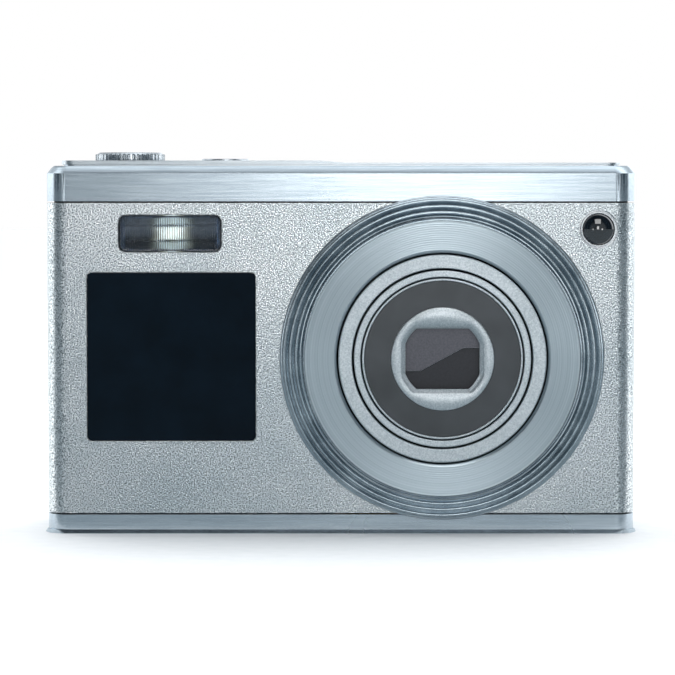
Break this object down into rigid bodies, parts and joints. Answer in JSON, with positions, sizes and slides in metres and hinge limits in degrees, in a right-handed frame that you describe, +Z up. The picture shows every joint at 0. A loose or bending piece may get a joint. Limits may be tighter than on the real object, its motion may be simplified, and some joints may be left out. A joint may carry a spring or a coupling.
{
  "type": "compact digital camera",
  "caption": "Compact digital camera with a retractable zoom lens, ridged lens bezel, front screen, flash, lamp, knurled mode dial, rear screen and controls, and a battery door.",
  "frame": {"origin": "middle of the base, on the surface the camera stands on", "axes": "+Z up; the lens and front panel face -Y; +X is the viewer's right, seen from the front"},
  "size_m": [0.111, 0.034, 0.0712],
  "materials": {
    "sandblasted_silver": "fine sandblasted silver",
    "satin_shell": "satin silver paint",
    "satin_chrome": "satin chrome, blue-grey",
    "brushed_deck": "fine brushed aluminium",
    "ridged_bezel": "polished ridges",
    "turned_aluminium": "turned with fine concentric grooves",
    "blasted_barrel": "bead blasted, satin",
    "dark_front_ring": "dark grey, semi-gloss",
    "blade_grey": "dark grey, satin",
    "blade_dark": "charcoal, satin",
    "optical_glass": "coated glass",
    "black_polycarbonate": "matt black",
    "bright_steel": "bright",
    "brass": "machined",
    "acetal": "natural white",
    "sensor_glass": "dark iridescent",
    "flash_lens": "ribbed clear acrylic",
    "flash_mirror": "bright reflector",
    "xenon_tube": "clear glass tube",
    "capacitor_sleeve": "black sleeve",
    "screen_glass": "near-black glossy window",
    "display_module": "display, off",
    "circuit_board": "green solder mask",
    "battery_wrap": "grey-blue cell case",
    "orange_catch": "orange",
    "grey_slider": "grey",
    "card_shell": "dark blue",
    "metal_button": "satin plated",
    "silicone_pad": "soft, matt"
  },
  "bodies": {
    "camera_body": {"front_cover": "sandblasted_silver", "rear_cover": "satin_shell", "top_cover": "satin_chrome", "top_plate": "brushed_deck", "bottom_cover": "satin_chrome", "chassis_frame": "black_polycarbonate", "lens_bezel": "ridged_bezel", "lens_trim_ring": "turned_aluminium", "lens_housing": "black_polycarbonate", "guide_rods": "bright_steel", "sensor_plate": "bright_steel", "image_sensor": "sensor_glass", "zoom_motor": "bright_steel", "flash_window": "flash_lens", "flash_reflector": "flash_mirror", "flash_tube": "xenon_tube", "flash_capacitor": "capacitor_sleeve", "front_screen_window": "screen_glass", "front_display": "display_module", "lamp_lens": "screen_glass", "lamp_ring": "bright_steel", "rear_screen_window": "screen_glass", "rear_display": "display_module", "main_board": "circuit_board", "key_board": "circuit_board", "battery": "battery_wrap", "battery_door_pin": "bright_steel", "memory_card": "card_shell", "card_socket": "bright_steel", "usb_socket": "bright_steel", "tripod_socket": "brass", "case_screws": "bright_steel"},
    "mode_dial": {"mode_dial": "metal_button"},
    "shutter_button": {"shutter_button": "metal_button"},
    "power_button": {"power_button": "metal_button"},
    "zoom_rocker": {"zoom_rocker": "metal_button"},
    "nav_pad": {"nav_pad": "silicone_pad"},
    "nav_ring": {"nav_ring": "metal_button"},
    "ok_button": {"ok_button": "metal_button"},
    "playback_button": {"playback_button": "metal_button"},
    "menu_button": {"menu_button": "metal_button"},
    "outer_barrel": {"outer_barrel": "blasted_barrel"},
    "middle_barrel": {"middle_barrel": "blasted_barrel"},
    "inner_barrel": {"inner_barrel": "blasted_barrel", "front_ring": "dark_front_ring", "nose_plate": "blasted_barrel", "front_lens": "optical_glass"},
    "upper_blade": {"barrier_blade_upper": "blade_grey"},
    "lower_blade": {"barrier_blade_lower": "blade_dark"},
    "cam_ring": {"cam_ring": "black_polycarbonate"},
    "reduction_gear": {"reduction_gear": "acetal"},
    "motor_pinion": {"motor_pinion": "brass"},
    "zoom_group": {"zoom_carrier": "black_polycarbonate", "zoom_lens": "optical_glass"},
    "focus_group": {"focus_carrier": "black_polycarbonate", "focus_lens": "optical_glass"},
    "battery_door": {"battery_door": "satin_chrome"},
    "door_latch": {"door_latch": "grey_slider"},
    "battery_catch": {"battery_catch": "orange_catch"},
    "port_door": {"port_door": "satin_shell"}
  },
  "joints": [
    {"name": "mode_dial_turn", "type": "hinge", "parent": "camera_body", "child": "mode_dial", "pos_m": [-0.0402, 0.0015, 0.0703], "axis": [0, 0, 1], "continuous": true},
    {"name": "shutter_press", "type": "slide", "parent": "camera_body", "child": "shutter_button", "axis": [0, 0, -1], "range_m": [0, 0.0007], "stiffness_N_per_m": 400},
    {"name": "power_press", "type": "slide", "parent": "camera_body", "child": "power_button", "axis": [0, 0, -1], "range_m": [0, 0.0004], "stiffness_N_per_m": 400},
    {"name": "zoom_tilt", "type": "hinge", "parent": "camera_body", "child": "zoom_rocker", "pos_m": [-0.038, 0.014, 0.0545], "axis": [0, 0, 1], "range_deg": [-5, 5], "stiffness_Nm_per_rad": 0.05},
    {"name": "nav_tilt_vertical", "type": "hinge", "parent": "camera_body", "child": "nav_pad", "pos_m": [-0.038, 0.0129, 0.027], "axis": [1, 0, 0], "range_deg": [-2, 2], "stiffness_Nm_per_rad": 0.05},
    {"name": "nav_tilt_sideways", "type": "hinge", "parent": "nav_pad", "child": "nav_ring", "pos_m": [-0.038, 0.014, 0.027], "axis": [0, 0, 1], "range_deg": [-2, 2], "stiffness_Nm_per_rad": 0.05},
    {"name": "ok_press", "type": "slide", "parent": "camera_body", "child": "ok_button", "axis": [0, -1, 0], "range_m": [0, 0.0004], "stiffness_N_per_m": 400},
    {"name": "playback_press", "type": "slide", "parent": "camera_body", "child": "playback_button", "axis": [0, -1, 0], "range_m": [0, 0.0004], "stiffness_N_per_m": 400},
    {"name": "menu_press", "type": "slide", "parent": "camera_body", "child": "menu_button", "axis": [0, -1, 0], "range_m": [0, 0.0004], "stiffness_N_per_m": 400},
    {"name": "lens_extend", "type": "slide", "parent": "camera_body", "child": "outer_barrel", "axis": [0, -1, 0], "range_m": [0, 0.012]},
    {"name": "middle_slide", "type": "slide", "parent": "outer_barrel", "child": "middle_barrel", "axis": [0, -1, 0], "range_m": [0, 0.01]},
    {"name": "inner_slide", "type": "slide", "parent": "middle_barrel", "child": "inner_barrel", "axis": [0, -1, 0], "range_m": [0, 0.008]},
    {"name": "upper_blade_swing", "type": "hinge", "parent": "inner_barrel", "child": "upper_blade", "pos_m": [0.0308, -0.0152, 0.03385], "axis": [0, 1, 0], "range_deg": [0, 32]},
    {"name": "lower_blade_swing", "type": "hinge", "parent": "inner_barrel", "child": "lower_blade", "pos_m": [0.0068, -0.0146, 0.03185], "axis": [0, 1, 0], "range_deg": [0, 32]},
    {"name": "cam_turn", "type": "hinge", "parent": "camera_body", "child": "cam_ring", "pos_m": [0.0188, 0, 0.03285], "axis": [0, 1, 0], "range_deg": [0, 150.01]},
    {"name": "gear_turn", "type": "hinge", "parent": "camera_body", "child": "reduction_gear", "pos_m": [0.03662, 0.0028, 0.01503], "axis": [0, 1, 0], "range_deg": [-750.1, 0]},
    {"name": "pinion_turn", "type": "hinge", "parent": "camera_body", "child": "motor_pinion", "pos_m": [0.04083, 0.0028, 0.01082], "axis": [0, 1, 0], "range_deg": [0, 1800.1]},
    {"name": "zoom_slide", "type": "slide", "parent": "camera_body", "child": "zoom_group", "axis": [0, -1, 0], "range_m": [0, 0.015]},
    {"name": "focus_slide", "type": "slide", "parent": "camera_body", "child": "focus_group", "axis": [0, -1, 0], "range_m": [0, 0.004]},
    {"name": "battery_door_swing", "type": "hinge", "parent": "camera_body", "child": "battery_door", "pos_m": [-0.0342, 0.0072, 0.0015], "axis": [1, 0, 0], "range_deg": [0, 90]},
    {"name": "door_latch_slide", "type": "slide", "parent": "battery_door", "child": "door_latch", "axis": [0, -1, 0], "range_m": [0, 0.0012]},
    {"name": "battery_catch_slide", "type": "slide", "parent": "camera_body", "child": "battery_catch", "axis": [0, 1, 0], "range_m": [0, 0.0014], "stiffness_N_per_m": 200},
    {"name": "port_door_swing", "type": "hinge", "parent": "camera_body", "child": "port_door", "pos_m": [0.0544, 0.0097, 0.029], "axis": [0, 0, 1], "range_deg": [0, 95]}
  ],
  "couplings": [
    {"joint": "cam_turn", "follows": "lens_extend", "rad_per_m": 218.17},
    {"joint": "middle_slide", "follows": "lens_extend", "ratio": 0.83332},
    {"joint": "inner_slide", "follows": "lens_extend", "ratio": 0.66666},
    {"joint": "upper_blade_swing", "follows": "lens_extend", "rad_per_m": 46.541},
    {"joint": "lower_blade_swing", "follows": "lens_extend", "rad_per_m": 46.541},
    {"joint": "gear_turn", "follows": "lens_extend", "rad_per_m": -1090.8},
    {"joint": "pinion_turn", "follows": "lens_extend", "rad_per_m": 2618},
    {"joint": "zoom_slide", "follows": "lens_extend", "ratio": 1.25}
  ]
}
